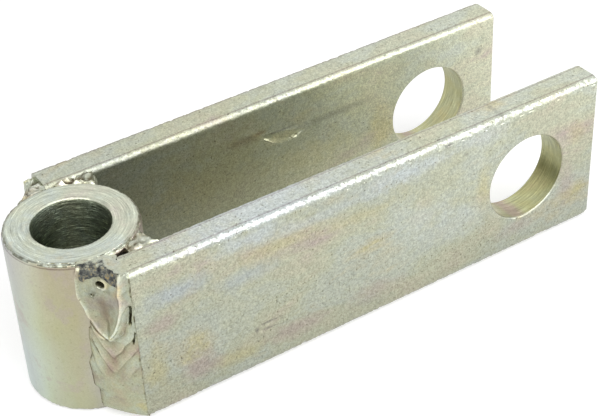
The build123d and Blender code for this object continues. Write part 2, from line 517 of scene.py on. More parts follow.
subdivide_edges(hub_body, across_the_face, 36)
places = vertex_places(hub_body)
radii = np.hypot(places[:, 0], places[:, 1])
turns = np.arctan2(places[:, 1], places[:, 0])
end_sign = np.sign(places[:, 2])
flat = np.minimum(np.abs(places[:, 2] - hub_low.z), np.abs(places[:, 2] - hub_high.z)) < 1e-6
ring_points = np.stack([radii, turns * 2.5 * MM, end_sign * 5 * MM], 1)
rings = value_noise(ring_points, 0.32 * MM) * 0.018 + value_noise(ring_points, 1.1 * MM) * 0.015
places[:, 2] -= np.where(flat, (0.02 + rings) * end_sign, 0.0) * MM
from_middle = np.abs(places[:, 2])
rim_wear = np.abs(value_noise(places, 1.3 * MM)) * 0.12 + np.abs(value_noise(places, 0.6 * MM)) * 0.14
on_rim_band = (radii > HUB_RADIUS - RIM_CHAMFER * 1.05) & (from_middle > hub_high.z - RIM_CHAMFER * 1.05)
on_mouth_band = (radii < BORE_RADIUS + MOUTH_CHAMFER * 1.05) & (
    from_middle > hub_high.z - MOUTH_CHAMFER * 1.05
)
shrink = np.where(on_rim_band, rim_wear, 0.0) * MM
places[:, 2] -= (shrink + np.where(on_mouth_band, rim_wear * 0.7, 0.0) * MM) * end_sign
places[:, :2] *= (1 - shrink / np.maximum(radii, 1e-9))[:, None]
move_vertices(hub_body, places)
smooth_to(hub_body, 40)
print("hub:", len(hub_body.data.polygons), "faces")

# %% [markdown]
# ## The weld beads
#
# A weld bead is a row of frozen puddles. Each puddle laps the one below it and leaves a pointed ripple,
# and the last one, at the top, cools as a tongue with a raised rim, a sunken middle and a gas pore. The
# form is too irregular for profiles alone, so we start from a closed cylinder one unit high and round,
# with plenty of rows and with rings in its ends, and then map every vertex: how far it lies round the
# cylinder tells where it goes across the bead, and how high tells where it goes along the bead.

# %% A blank with enough mesh to shape
def bead_blank(around, rows, rings=5):
    """A closed cylinder from 0 to 1 up, with rings in its ends. Rows are the cuts made one after another."""
    deselect_all()
    bpy.ops.mesh.primitive_cylinder_add(
        vertices=around, radius=1, depth=1, location=(0, 0, 0.5), end_fill_type="NGON"
    )
    blank = bpy.context.object
    bpy.ops.object.transform_apply(location=True, rotation=True, scale=True)
    select_faces(blank, lambda centre, normal: abs(normal.z) > 0.9)
    for _ in range(rings):
        bpy.ops.mesh.inset(thickness=1 / (rings + 1))
    bpy.ops.object.mode_set(mode="OBJECT")
    for end in (0, 1):
        middle = Vector((0, 0, end))
        select_faces(blank, lambda centre, normal: (centre - middle).length < 1e-3)
        bpy.ops.mesh.merge(type="COLLAPSE")
        bpy.ops.object.mode_set(mode="OBJECT")
    for cuts in rows:
        subdivide_edges(blank, lambda first, second: abs(first.z - second.z) > 1e-4, cuts)
    return blank


def blank_coordinates(blank):
    """For each vertex: its share of the way round, of the way out, and of the way up."""
    places = vertex_places(blank)
    round_share = (np.arctan2(places[:, 1], places[:, 0]) / (2 * math.pi)) % 1.0
    return round_share, np.hypot(places[:, 0], places[:, 1]), places[:, 2]


# %% [markdown]
# ## The outer beads
#
# The outer bead fills the notch between the hub's side and the bar's square end. Its face is crowned and
# runs from a toe on the hub to a toe at the bar's outer corner. Height is added in layers: the crown,
# coarse and fine ripples with downward points, and the tongue, the last pool that froze, with its raised
# rim and its hollow. The rim is flatter at its lower left, where a dark undercut runs along it. Places on
# the face are given by side, from -1 at the hub to 1 at the bar, and by height in millimetres.

# %% The ripples and the tongue
BEAD_LOW, BEAD_HIGH = 0.6, 39.9
BEAD_HALF_WIDTH = 5.76
TONGUE_TIP = 22.0
TONGUE_HALF_WIDTH = 0.93
TONGUE_LEAN = -0.21
CROWN = 1.15


def chevrons(height, side, pitch, points):
    """Lapped puddles with points that hang down: their rise, which dies out at the toes, and their seams."""
    drop = 8.4 * (np.sqrt((side - 0.04) ** 2 + 0.01) - 0.1) ** 1.1
    part = ((height - drop + 0.8 * value_noise(points, 2.4)) / pitch) % 1.0
    rise = smooth_step(part, 0.0, 0.16) * (1 - part) ** 1.3 * np.clip(1 - side**4, 0, 1)
    return rise, bell(np.minimum(part, 1 - part), 0.10)


def tongue_depth(side, height, points):
    """How far inside the tongue's outline a point lies, in millimetres. Outside it is negative."""
    up = np.maximum(height - TONGUE_TIP, 0)
    half = TONGUE_HALF_WIDTH * (1 - np.exp(-up / 4.2)) ** 0.95
    centre = TONGUE_LEAN + 0.14 * np.exp(-up / 1.2)
    inside = (half - np.abs(side - centre)) * BEAD_HALF_WIDTH * 0.80
    below = -np.hypot(height - TONGUE_TIP, (side + 0.07) * BEAD_HALF_WIDTH)
    return np.where(height < TONGUE_TIP, below, inside) + 0.10 * value_noise(points + 9, 1.7)


print("the tongue is", BEAD_HIGH - TONGUE_TIP, "mm long")


# %% The height of the face over its chord, in millimetres
def outer_face(side, height, seed):
    """The face's height, the painted shade and stain in its seams, and the painted highlight on its ridges,
    from 0 to 1.
    """
    points = np.stack([side * BEAD_HALF_WIDTH, height, np.full_like(side, seed)], 1)
    crown = CROWN * np.clip(1 - side**2, 0, 1) ** 0.75
    wavy = 0.13 * value_noise(points, 4.5) + 0.05 * value_noise(points, 1.5)
    coarse, coarse_seam = chevrons(height, side, 4.4, points)
    fine, fine_seam = chevrons(height + 0.7, side, 1.15, points)
    fading = smooth_step(height, 9.0, 17.0)
    laps = 0.42 * coarse * fading + 0.09 * fine
    inside = tongue_depth(side, height, points)
    in_tongue = smooth_step(inside, -0.22, 0.14)
    rim = 0.55 * bell(inside - 0.32, 0.36)
    dish = 1.15 * (1 - bell(np.maximum(inside - 0.3, 0), 1.7))
    flattened = 0.75 * smooth_step(28.5 - height, 0.0, 3.5) * smooth_step(0.02 - side, 0.0, 0.15)
    tongue = (0.34 + rim) * (1 - flattened) - dish + 0.09 * value_noise(points + 4, 1.2)
    undercut = bell(inside + 0.72, 0.30) * smooth_step(height, 20.5, 22.5) * (1 - smooth_step(height, 29, 33))
    face = crown + wavy + laps * (1 - in_tongue) + tongue * in_tongue - 0.35 * undercut
    patchy = np.clip(0.45 + 1.1 * value_noise(points + 2, 2.6), 0, 1)
    # Painted shade in the ripples' seams.
    seams = (0.45 * coarse_seam * fading + 0.16 * fine_seam) * (1 - in_tongue) * patchy
    left_of_tip = smooth_step(-0.02 - side, 0.0, 0.12)
    # Painted shade in the undercut, strongest left of the tongue's tip.
    seams = np.maximum(seams, undercut * (0.35 + 0.65 * left_of_tip))
    stain = 0.30 * smooth_step(value_noise(points + 11, 2.0), 0.1, 0.5) * smooth_step(inside, 0.8, 1.6)
    seams = np.maximum(seams, stain)
    # Painted highlight along the tongue's rim and on the ripples' crests.
    ridge_highlights = bell(inside - 0.30, 0.33) + 0.5 * coarse * fading * (1 - in_tongue)
    return face, seams, np.clip(ridge_highlights, 0, 1), points


test_side = np.array([-0.11, 0.9])
print("face at mid-tongue and at the toe:", outer_face(test_side, np.array([33.0, 33.0]), 2.0)[0].round(2))

# %% [markdown]
# ## Pores, slits and the toes
#
# The face isn't whole. Gas left a pore near the top of the tongue, and here and there the puddle didn't
# quite reach the steel, which leaves a slit. Each is sunk into the face, and at the same time kept as a
# number at every vertex, so that the finish can paint shade into it and brown the metal round the pore.

# %% Sink the pore and the slits
PORE_SIDE, PORE_LEVEL = -0.11, 36.4
PINHOLE_SIDE, PINHOLE_LEVEL = -0.46, 33.2
SLITS = [
    ((0.84, 31.8), (0.78, 26.6), 0.22, 1.1),
    ((0.88, 24.8), (0.78, 21.4), 0.15, 0.7),
    ((-0.98, 27.6), (-0.90, 23.4), 0.26, 0.5),
    ((-0.85, 20.9), (-0.48, 16.4), 0.17, 0.35),
]


def dimple(points, side, height, radius, depth):
    """A round hole in the face, with a low ring thrown up round it."""
    gap = np.hypot(points[:, 0] - side * BEAD_HALF_WIDTH, points[:, 1] - height)
    return depth * (1 - smooth_step(gap, radius * 0.45, radius)) - 0.16 * bell(gap - radius * 1.15, 0.25)


def slit(points, start, stop, width):
    """How deep in a slit each point lies, from 0 to 1."""
    begin = np.array([start[0] * BEAD_HALF_WIDTH, start[1]])
    line = np.array([stop[0] * BEAD_HALF_WIDTH, stop[1]]) - begin
    length = np.hypot(*line)
    offset = points[:, :2] - begin
    share = offset @ line / length**2
    gap = np.abs(offset @ np.array([-line[1], line[0]]) / length) + 0.12 * value_noise(points, 0.7)
    ends = smooth_step(share, -0.06, 0.12) * (1 - smooth_step(share, 0.88, 1.06))
    return bell(gap, width) * ends


def sink_marks(side, height, points, face, seams):
    """Takes the pore, the pinhole and the slits out of the face, paints shade into them, and darkens a smudge
    below.
    """
    pore = dimple(points, PORE_SIDE, PORE_LEVEL, 1.00, 1.7)
    pore += dimple(points, PINHOLE_SIDE, PINHOLE_LEVEL, 0.42, 0.5)
    face = face - pore
    smudge = bell(np.hypot((side + 0.42) * BEAD_HALF_WIDTH * 0.8, height - 33.4), 1.0)
    smudge *= 0.62 * smooth_step(value_noise(points + 31, 0.7), -0.25, 0.35)
    seams = np.maximum(np.maximum(seams, np.clip(pore * 0.8, 0, 0.62)), smudge)
    for start, stop, width, depth in SLITS:
        cut = slit(points, start, stop, width)
        face = face - cut * depth
        seams = np.maximum(seams, cut)
    return face, seams


print("marks in each outer bead:", 2 + len(SLITS))

# %% Where the face gets painted shade or highlight, or is brown or burnt
SCORCH_LEVEL = 36.9


def toe_seams(side, height, points):
    """The broken dark lines where the bead meets the hub and the bar."""
    broken = smooth_step(value_noise(points * (0, 1, 1) + 6, 1.2), -0.20, 0.25)
    specks = smooth_step(value_noise(points + 21, 0.55), 0.0, 0.35)
    hub_side = bell((side + 0.945) * BEAD_HALF_WIDTH, 0.16) * (height < 30) * 0.95
    bar_side = bell((side - 0.975) * BEAD_HALF_WIDTH + 0.12 * broken, 0.16) * (0.35 + 0.6 * specks)
    return hub_side * broken + bar_side


def from_pore(points):
    return np.hypot(points[:, 0] - PORE_SIDE * BEAD_HALF_WIDTH, points[:, 1] - PORE_LEVEL)


def pore_highlight(side, points):
    """A painted highlight in a ring on the pore's side towards the bar."""
    return bell(from_pore(points) - 1.25, 0.28) * smooth_step(side, PORE_SIDE - 0.02, PORE_SIDE + 0.1)


def brown_and_hollow_shade(side, height, points):
    """Brown round the pore and down the middle of the ripples, and in the tongue's hollow, where it is also
    painted shade.
    """
    in_hollow = bell(np.hypot((side + 0.13) * BEAD_HALF_WIDTH * 0.8, (height - 29.3) * 0.34), 1.2)
    round_pore = 0.35 * bell(from_pore(points) - 1.0, 0.7)
    in_ripples = 0.45 * bell(side - 0.05, 0.45) * smooth_step(height, 9.0, 14.0) * (height < 22)
    return np.maximum(np.maximum(in_hollow, round_pore), in_ripples)


def scorched(side, height, points):
    """The burnt patch above the pore, which keeps clear of the pore and of the bar."""
    edge = SCORCH_LEVEL + 0.8 * value_noise(points + 3, 1.1) + 0.7 * bell(side - PORE_SIDE, 0.3)
    near_pore = bell(np.hypot((side - PORE_SIDE) * BEAD_HALF_WIDTH, height - PORE_LEVEL), 1.45)
    scorch = smooth_step(height - 2.2 * near_pore, edge - 0.3, edge + 0.5)
    return scorch * smooth_step(side, -0.98, -0.75) * (1 - smooth_step(side, 0.42, 0.72))


print("the burn starts at", SCORCH_LEVEL, "mm up the bead")

# %% The toes of an outer bead, and its outline at each level
FACE_SHARE = 0.86


def noise_along(height, offset, cell):
    """Noise that changes only along the bead."""
    return value_noise(np.stack([height, height * 0 + offset, height * 0], 1), cell)


def outer_toes(height, seed):
    """Where the face starts on the hub and where it ends on the bar's corner, in millimetres."""
    bulge = 3.6 * smooth_step(height, 5.6, 7.6) * (1 - smooth_step(height, 13.5, 16.5))
    bulge += 4.2 * smooth_step(height, 28.5, 33.5) * (1 - 0.5 * smooth_step(height, 37.0, 39.9))
    toe_angle = np.radians(-111.0 - 1.6 * noise_along(height, seed, 5.0) - bulge)
    hub_toe = np.stack([np.cos(toe_angle), np.sin(toe_angle)], 1) * (HUB_RADIUS / MM - 0.25)
    over = 0.28 * noise_along(height, seed + 3, 2.2)
    bar_toe = np.stack([BAR_START / MM + 0.30 + over, np.full_like(height, -BAR_OUTER / MM - 0.01)], 1)
    return hub_toe, bar_toe


def outer_section(round_share, out_share, face, height, seed):
    """The place of each vertex seen from above: along the face first, and then back round the root."""
    hub_toe, bar_toe = outer_toes(height, seed)
    chord = bar_toe - hub_toe
    chord_length = np.hypot(chord[:, 0], chord[:, 1])
    outward = np.stack([chord[:, 1], -chord[:, 0]], 1) / chord_length[:, None]
    across = np.clip(round_share / FACE_SHARE, 0, 1)
    surface = hub_toe + chord * across[:, None] + outward * face[:, None]
    back_share = np.clip((round_share - FACE_SHARE) / (1 - FACE_SHARE), 0, 1)
    root = np.array([BAR_START / MM + 0.1, -(SLOT_HALF / MM + 0.3)])
    to_root = bar_toe + (root - bar_toe) * np.clip(back_share * 2, 0, 1)[:, None]
    to_hub = root + (hub_toe - root) * np.clip(back_share * 2 - 1, 0, 1)[:, None]
    back = np.where((back_share < 0.5)[:, None], to_root, to_hub)
    outline = np.where((round_share <= FACE_SHARE)[:, None], surface, back)
    centre = (hub_toe + bar_toe + root) / 3 + outward * 0.9
    return centre + (outline - centre) * out_share[:, None]


print("of each ring of vertices,", FACE_SHARE, "goes to the face")

# %% [markdown]
# ## The top of an outer bead
#
# The bead ends in a pool with an uneven top. On the right it has run over the hub's rim and smeared onto
# the bar. On the left it sank as it froze, so its top lies lower and is more broken, with the bar's corner
# standing clear of it.

# %% Helpers that place a bead and keep its numbers
HUB_RIM_RADIUS = 14.75
BAR_HIGH_LEVEL = (bar_high.z - bar_low.z) / MM


def paint_attribute(piece, name, values):
    layer = piece.data.attributes.new(name, "FLOAT", "POINT")
    layer.data.foreach_set("value", np.asarray(values, dtype=np.float32))


def set_bead(blank, x, y, height, name):
    """Moves the blank's vertices to their places, given in millimetres, with height from the bar's edge."""
    move_vertices(blank, np.stack([x, y, height + bar_low.z / MM], 1) * MM)
    face_outwards(blank)
    smooth_to(blank, 60)
    blank.name = name


def noise_over(flat_place, offset, cell):
    """Noise over the top of a bead, the same at every level."""
    level = np.full(len(flat_place), offset)
    return value_noise(np.stack([flat_place[:, 0], flat_place[:, 1], level], 1), cell)


# %% Shape one outer bead
def shape_outer_bead(side_sign, seed, burn, lumps, sunk, name):
    """Burn is how strongly the bead is scorched. Lumps and sunk, in millimetres, are for its top."""
    blank = bead_blank(around=170, rows=(15, 19))
    round_share, out_share, up_share = blank_coordinates(blank)
    on_face = round_share <= FACE_SHARE
    height = BEAD_LOW + (BEAD_HIGH - BEAD_LOW) * up_share
    side = 2 * np.clip(round_share / FACE_SHARE, 0, 1) - 1
    face, seams, ridge_highlights, points = outer_face(side, height, seed)
    face, seams = sink_marks(side, height, points, face, seams)
    seams = np.maximum(seams, toe_seams(side, height, points))
    ridge_highlights = np.maximum(ridge_highlights, pore_highlight(side, points))
    scorch = scorched(side, height, points)
    brown = brown_and_hollow_shade(side, height, points)
    rounded_end = np.clip(1 - side**2, 0, 1) ** 0.5
    face -= 1.1 * smooth_step(height, 38.2, 40.4) * rounded_end
    face -= 0.7 * (1 - smooth_step(height, BEAD_LOW, BEAD_LOW + 1.3)) * rounded_end

    flat_place = outer_section(round_share, out_share, face, height, seed)
    from_axis = np.hypot(flat_place[:, 0], flat_place[:, 1])
    sunk_share = min(sunk, 1.0)
    melted = smooth_step(height, 38.7, 39.6) * bell(from_axis - HUB_RIM_RADIUS, 0.55) * (1.0 - sunk_share)
    flat_place = flat_place * (1 - 0.8 * melted / from_axis)[:, None]
    to_bar = np.clip((flat_place[:, 0] + 5.4) / 6.9, 0, 1)
    out = -flat_place[:, 1]

    top = up_share > 0.999
    rough = noise_over(flat_place, seed, 0.9)
    finer = noise_over(flat_place, seed + 5, 0.45)
    level = BEAD_HIGH + 0.22 + lumps * (rough + 0.4 * finer) + 0.10 * (1 - out_share) + 0.12 * melted
    level -= sunk * (0.45 + 0.55 * smooth_step(out, 16.5, 22.0))
    level -= 1.0 * smooth_step(out, BAR_OUTER / MM - 1.3, BAR_OUTER / MM + 0.1)
    height = np.where(top, level, np.minimum(height, level))
    smear = smooth_step(height, BAR_HIGH_LEVEL, BAR_HIGH_LEVEL + 0.06) * to_bar**3 * (1.1 + 0.9 * rough)
    set_bead(blank, flat_place[:, 0] + smear, flat_place[:, 1] * -side_sign, height, name)

    skin = on_face & (out_share > 0.99)
    # Painted shade in the crevices of a sunk top, and painted highlight on its crests.
    crevices = smooth_step(-rough - 0.5 * finer, 0.15, 0.6) * sunk_share
    crest_highlights = 0.7 * smooth_step(rough + 0.5 * finer, -0.1, 0.4) * sunk_share
    scorch *= burn * smooth_step(out_share, 0.30, 0.95)
    singed = 0.62 * burn * (1 - smooth_step(to_bar, 0.50, 0.80)) * smooth_step(from_axis, 14.4, 15.6)
    paint_attribute(blank, "seam_shade_and_stain", np.where(top, crevices, np.where(skin, seams, 0)))
    paint_attribute(blank, "scorch", np.where(top, np.maximum(scorch, singed), np.where(on_face, scorch, 0)))
    paint_attribute(blank, "brown", np.where(skin, brown * burn, 0))
    paint_attribute(blank, "ridge_highlight", np.where(top, crest_highlights, ridge_highlights * (1 - scorch) * on_face))
    return blank


right_outer_bead = shape_outer_bead(-1, 2.0, 1.0, 0.20, 0.0, "right_outer_bead")
left_outer_bead = shape_outer_bead(1, 31.0, 0.12, 0.6, 1.5, "left_outer_bead")
print("outer beads:", len(right_outer_bead.data.polygons), "faces each")

# %% [markdown]
# ## The inner beads
#
# Behind the hub a smaller fillet sits in the corner between the hub and each bar. Its face is hollow, and
# an open wedge is left behind its root, which closes up near the top. It is shaped from the same blank,
# with a hollow instead of a crown and a lumpier top end.

# %% The section of an inner bead at each level
INNER_LOW, INNER_HIGH = 1.0, 39.4
INNER_HALF_WIDTH = 2.9
INNER_FACE_SHARE = 0.6
INNER_TOE_X = 13.3
INNER_TOE_ANGLE = -41.0
ROOT_X = 8.75
INNER_REACH = HUB_RADIUS / MM - 0.2


def inner_corners(height, points, seed, wedge_fill):
    """The section's corners: the toe and the root on the bar, then the root and the toe on the hub."""
    toe_angle = np.radians(INNER_TOE_ANGLE + 2.2 * noise_along(height, seed, 3.6))
    hub_toe = np.stack([np.cos(toe_angle), np.sin(toe_angle)], 1) * INNER_REACH
    lap = -SLOT_HALF / MM - 0.15 - 1.1 * smooth_step(height, 37.4, 39.2)
    bar_toe = np.stack([INNER_TOE_X + 0.6 * noise_along(height, seed + 5, 3.1), lap], 1)
    root_x = ROOT_X + 0.35 * value_noise(points + 7, 2.0) - wedge_fill * smooth_step(height, 35.5, 38.5)
    bar_root = np.stack([root_x, lap], 1)
    hub_root = np.stack([root_x, -np.sqrt(INNER_REACH**2 - root_x**2)], 1)
    return bar_toe, bar_root, hub_root, hub_toe


def inner_section(round_share, out_share, face, corners):
    """The place of each vertex seen from above: along the face first, and then back round the root."""
    bar_toe, bar_root, hub_root, hub_toe = corners
    chord = bar_toe - hub_toe
    chord_length = np.hypot(chord[:, 0], chord[:, 1])
    outward = np.stack([-chord[:, 1], chord[:, 0]], 1) / chord_length[:, None]
    across = np.clip(round_share / INNER_FACE_SHARE, 0, 1)
    outline = hub_toe + chord * across[:, None] + outward * face[:, None]
    legs = np.clip((round_share - INNER_FACE_SHARE) / (1 - INNER_FACE_SHARE), 0, 1) * 3
    for index in range(3):
        part = np.clip(legs - index, 0, 1)[:, None]
        leg = corners[index] + (corners[index + 1] - corners[index]) * part
        chosen = (round_share > INNER_FACE_SHARE) & (legs >= index) & (legs <= index + 1)
        outline = np.where(chosen[:, None], leg, outline)
    centre = (hub_toe + bar_toe + bar_root + hub_root) / 4
    return centre + (outline - centre) * out_share[:, None]


print("an inner bead is", round(INNER_HIGH - INNER_LOW, 1), "mm long")


# %% Shape one inner bead
def shape_inner_bead(side_sign, seed, lumps, wedge_fill, name):
    """Lumps, in millimetres, are for its top. Wedge_fill is how far it reaches back into the wedge there."""
    blank = bead_blank(around=90, rows=(9, 19))
    round_share, out_share, up_share = blank_coordinates(blank)
    height = INNER_LOW + (INNER_HIGH - INNER_LOW) * up_share
    side = 2 * np.clip(round_share / INNER_FACE_SHARE, 0, 1) - 1
    points = np.stack([side * INNER_HALF_WIDTH, height, np.full_like(side, seed)], 1)
    sag = -0.55 * np.clip(1 - side**2, 0, 1)
    coarse, coarse_seam = chevrons(height, side * 0.6, 2.3, points)
    laps = 0.20 * coarse + 0.08 * chevrons(height, side * 0.6, 0.9, points)[0]
    face = sag + laps + 0.16 * value_noise(points, 2.6) + 0.06 * value_noise(points, 0.8)
    corners = inner_corners(height, points, seed, wedge_fill)
    flat_place = inner_section(round_share, out_share, face, corners)

    top = up_share > 0.999
    rough = noise_over(flat_place, seed, 1.6)
    finer = noise_over(flat_place, seed + 8, 0.7)
    level = INNER_HIGH + lumps * (0.35 + rough + 0.35 * finer) * (1.1 - out_share**3) + 0.2 * (1 - out_share)
    height = np.where(top, level, np.minimum(height, level))
    set_bead(blank, flat_place[:, 0], flat_place[:, 1] * -side_sign, height, name)

    # Painted shade in the crevices of the top and in the ripple seams, and painted highlight on the lumps.
    crevices = 0.9 * smooth_step(-rough - 0.7 * finer, 0.05, 0.6)
    on_face = round_share <= INNER_FACE_SHARE
    paint_attribute(blank, "seam_shade_and_stain", np.where(top, crevices, 0.4 * coarse_seam * on_face))
    paint_attribute(blank, "ridge_highlight", smooth_step(rough + 0.7 * finer, 0.1, 0.6) * top)
    return blank


right_inner_bead = shape_inner_bead(-1, 12.0, 1.1, 3.2, "right_inner_bead")
left_inner_bead = shape_inner_bead(1, 45.0, 1.4, 5.4, "left_inner_bead")
print("inner beads:", len(right_inner_bead.data.polygons), "faces each")

# %% [markdown]
# ## Zinc plate with a thin yellow passivation
#
# The finish is bright zinc under a film so thin that its colour drifts from blue-grey through straw to
# pink, as oil on water does. Under it the rolled steel shows as fine grain and a scatter of dark pits.
# One function builds this finish as nodes. It reads Object coordinates, so the pattern stays on the steel.

# %% Helpers for wiring nodes
def wire(tree, kind, settings=None, **sockets):
    """Adds a node. A number or a colour sets its socket, and another node's output is linked to it."""
    node = tree.nodes.new(kind)
    for key, value in (settings or {}).items():
        setattr(node, key, value)
    for key, value in sockets.items():
        by_number = key[0] == "i" and key[1:].isdigit()
        socket = node.inputs[int(key[1:]) if by_number else key.replace("_", " ")]
        if isinstance(value, bpy.types.NodeSocket):
            tree.links.new(value, socket)
        else:
            socket.default_value = value
    return node


def ramp(tree, factor, stops):
    node = wire(tree, "ShaderNodeValToRGB", i0=factor)
    elements = node.color_ramp.elements
    elements[0].position, elements[1].position = stops[0][0], stops[-1][0]
    elements[0].color, elements[1].color = (*stops[0][1], 1.0), (*stops[-1][1], 1.0)
    for place, colour in stops[1:-1]:
        elements.new(place).color = (*colour, 1.0)
    return node.outputs["Color"]


def grey(value):
    return (value, value, value)


def mix(tree, blend, factor, first, second):
    settings = {"data_type": "RGBA", "blend_type": blend, "clamp_factor": True}
    colours = [(*value, 1.0) if isinstance(value, tuple) else value for value in (first, second)]
    return wire(tree, "ShaderNodeMix", settings, i0=factor, i6=colours[0], i7=colours[1]).outputs[2]


def maths(tree, operation, first, second=0.0, third=0.0):
    return wire(tree, "ShaderNodeMath", {"operation": operation}, i0=first, i1=second, i2=third).outputs[0]


# %% Shorthands for sums and noises
def times(tree, first, second):
    return maths(tree, "MULTIPLY", first, second)


def apart(tree, first, second):
    """How far apart two values are, whichever is the larger."""
    return maths(tree, "ABSOLUTE", maths(tree, "SUBTRACT", first, second))


def axes_of(tree, place):
    return wire(tree, "ShaderNodeSeparateXYZ", Vector=place).outputs


def noise_field(tree, place, scale, detail=2.0, rough=0.5, twist=0.0):
    sockets = {"Vector": place, "Scale": scale, "Detail": detail, "Roughness": rough, "Distortion": twist}
    return wire(tree, "ShaderNodeTexNoise", **sockets).outputs["Fac"]


def remap(tree, value, start, stop, low, high):
    return wire(tree, "ShaderNodeMapRange", Value=value, i1=start, i2=stop, i3=low, i4=high).outputs[0]


def shade_by(tree, base, value, low, high, change):
    """Darkens the colour where the value is low and brightens it where the value is high."""
    stops = [(low, grey(1 - change)), (high, grey(1 + change))]
    return mix(tree, "MULTIPLY", 1.0, base, ramp(tree, value, stops))


print("grey 0.5 as a colour:", grey(0.5))

# %% Build the plated finish
BEIGE = (0.495, 0.485, 0.370)
GREEN_GREY = (0.475, 0.490, 0.375)
COOL_GREY = (0.475, 0.505, 0.430)
BLUE_GREY = (0.430, 0.470, 0.475)
PALE_BLUE = (0.530, 0.580, 0.595)
STRAW = (0.520, 0.480, 0.275)
ROSE = (0.460, 0.400, 0.355)
BROWN = (0.300, 0.250, 0.150)
DARK_SPOT = (0.210, 0.205, 0.185)
PIT_TINT = (0.40, 0.37, 0.32)
DRIFT = [(0.30, ROSE), (0.40, BEIGE), (0.49, GREEN_GREY), (0.58, COOL_GREY), (0.66, BEIGE), (0.74, STRAW)]


def plated_steel(
    name, patch_scale, offset, roughness=0.40, grain=0.28, pits=0.75, bump=0.5, film=None, tooling=None
):
    """The plated finish. Film changes its colour under the grain, and tooling adds cut lines over it."""
    material = bpy.data.materials.new(name)
    material.use_nodes = True
    tree = material.node_tree
    shader = tree.nodes["Principled BSDF"]
    place = wire(tree, "ShaderNodeTexCoord").outputs["Object"]
    mapping = wire(tree, "ShaderNodeMapping", Vector=place, Location=offset, Scale=patch_scale)
    stretched = mapping.outputs["Vector"]
    base = ramp(tree, noise_field(tree, stretched, 75.0, 5.0, 0.62, 0.3), DRIFT)
    if film:
        base = film(tree, place, base)
    shade = noise_field(tree, stretched, 30.0, 3.0, 0.6)
    fine = noise_field(tree, place, 2600.0, 2.0, 0.75)
    base = shade_by(tree, base, shade, 0.3, 0.7, 0.05)
    base = shade_by(tree, base, fine, 0.30, 0.70, grain)
    base = shade_by(tree, base, noise_field(tree, place, 900.0, 1.0, 0.5), 0.3, 0.7, grain * 0.2)
    spots = noise_field(tree, place, 1500.0, 1.0, 0.4)
    crowd = noise_field(tree, stretched, 95.0, 2.0)
    pit_mask = remap(tree, maths(tree, "MULTIPLY_ADD", crowd, 0.20, spots), 0.78, 0.86, 0.0, pits)
    base = mix(tree, "MULTIPLY", pit_mask, base, PIT_TINT)
    height = maths(tree, "MULTIPLY_ADD", pit_mask, -1.0, fine)
    if tooling:
        base, height = tooling(tree, place, base, height)
    normal = wire(tree, "ShaderNodeBump", Strength=bump, Distance=0.0001, Height=height).outputs["Normal"]
    cloudy = remap(tree, shade, 0.3, 0.7, roughness - 0.05, roughness + 0.06)
    tree.links.new(base, shader.inputs["Base Color"])
    tree.links.new(normal, shader.inputs["Normal"])
    tree.links.new(cloudy, shader.inputs["Roughness"])
    shader.inputs["Metallic"].default_value = 1.0
    return material


print("film colours in the drift:", len(DRIFT))

# %% [markdown]
# ## Stains that have a place
#
# Some stains belong to one spot: a blue streak along the top of the right bar, straw round its pin hole,
# a brown smear beside the gouge. Each is an oval in millimetres along and up the bar, with a torn edge.
# Dark lines painted along each bar's rolled corners stand for a reflection of something dark, and beside
# them a painted highlight in patches of pale bare zinc brightens the corner. Painted shade darkens each bar
# towards the hub and its bottom. One broad face of each bar is left without ovals, because a place along
# and up the bar names a spot on both of its faces.

# %% Ovals of film colour, and fades that can carry painted shade
# Pale bare zinc for the painted highlight along the rolled corners.
BARE_ZINC_HIGHLIGHT = (0.66, 0.66, 0.68)
BAR_HALF_HEIGHT = (bar_high.z - bar_low.z) / 2


def oval(tree, place, torn, base, centre, reach, colour, strength):
    scale = (1 / reach[0] / MM, 0.0, 1 / reach[1] / MM)
    shift = (-centre[0] / reach[0], 0.0, -centre[1] / reach[1])
    spot = wire(tree, "ShaderNodeMapping", Vector=place, Location=shift, Scale=scale).outputs[0]
    away = wire(tree, "ShaderNodeVectorMath", {"operation": "LENGTH"}, i0=spot).outputs["Value"]
    edge = maths(tree, "MULTIPLY_ADD", torn, 1.6, maths(tree, "SUBTRACT", away, 0.8))
    return mix(tree, "MIX", remap(tree, edge, 1.05, 0.25, 0.0, strength), base, colour)


def fade(tree, base, value, places, shades, strength=1.0):
    """Multiplies the colour by shades that change along a direction. Each place, in millimetres, has its own
    shade.
    """
    low, high = places[0], places[-1]
    share = remap(tree, value, low * MM, high * MM, 0.0, 1.0)
    stops = [((where - low) / (high - low), shade) for where, shade in zip(places, shades)]
    return mix(tree, "MULTIPLY", strength, base, ramp(tree, share, stops))


# %% Painted highlights and painted dark lines along the corners
def worn_corner_highlight(tree, place, base, out, up, side, strength):
    """A painted highlight in patches along the rolled corner, in pale bare zinc where the yellow film is also
    worn.
    """
    near_side = remap(tree, apart(tree, out, side), 1.1 * MM, 0.7 * MM, 0.0, 1.0)
    off_top = maths(tree, "SUBTRACT", BAR_HALF_HEIGHT, up)
    near_top = remap(tree, off_top, 1.3 * MM, 0.7 * MM, 0.0, 1.0)
    patchy = remap(tree, noise_field(tree, place, 950.0, 3.0, 0.7), 0.45, 0.62, 0.0, strength)
    return mix(tree, "MIX", times(tree, times(tree, near_side, near_top), patchy), base, BARE_ZINC_HIGHLIGHT)


def painted_dark_corner_lines(tree, base, out, up, torn, depth):
    """Two painted dark lines along each narrow edge of the bar, this deep in from its broad faces: a painted
    reflection of something dark.
    """
    on_top = maths(tree, "GREATER_THAN", up, BAR_HALF_HEIGHT - 0.35 * MM)
    wander = times(tree, maths(tree, "SUBTRACT", torn, 0.5), 0.5 * MM)
    for dark_line_y in (BAR_OUTER - depth, SLOT_HALF + depth):
        off = maths(tree, "ABSOLUTE", maths(tree, "ADD", maths(tree, "SUBTRACT", out, dark_line_y), wander))
        line = times(tree, remap(tree, off, 0.26 * MM, 0.05 * MM, 0.0, 0.75), on_top)
        # A mauve tint that paints the dark reflection.
        base = mix(tree, "MULTIPLY", line, base, (0.62, 0.53, 0.58))
    return base


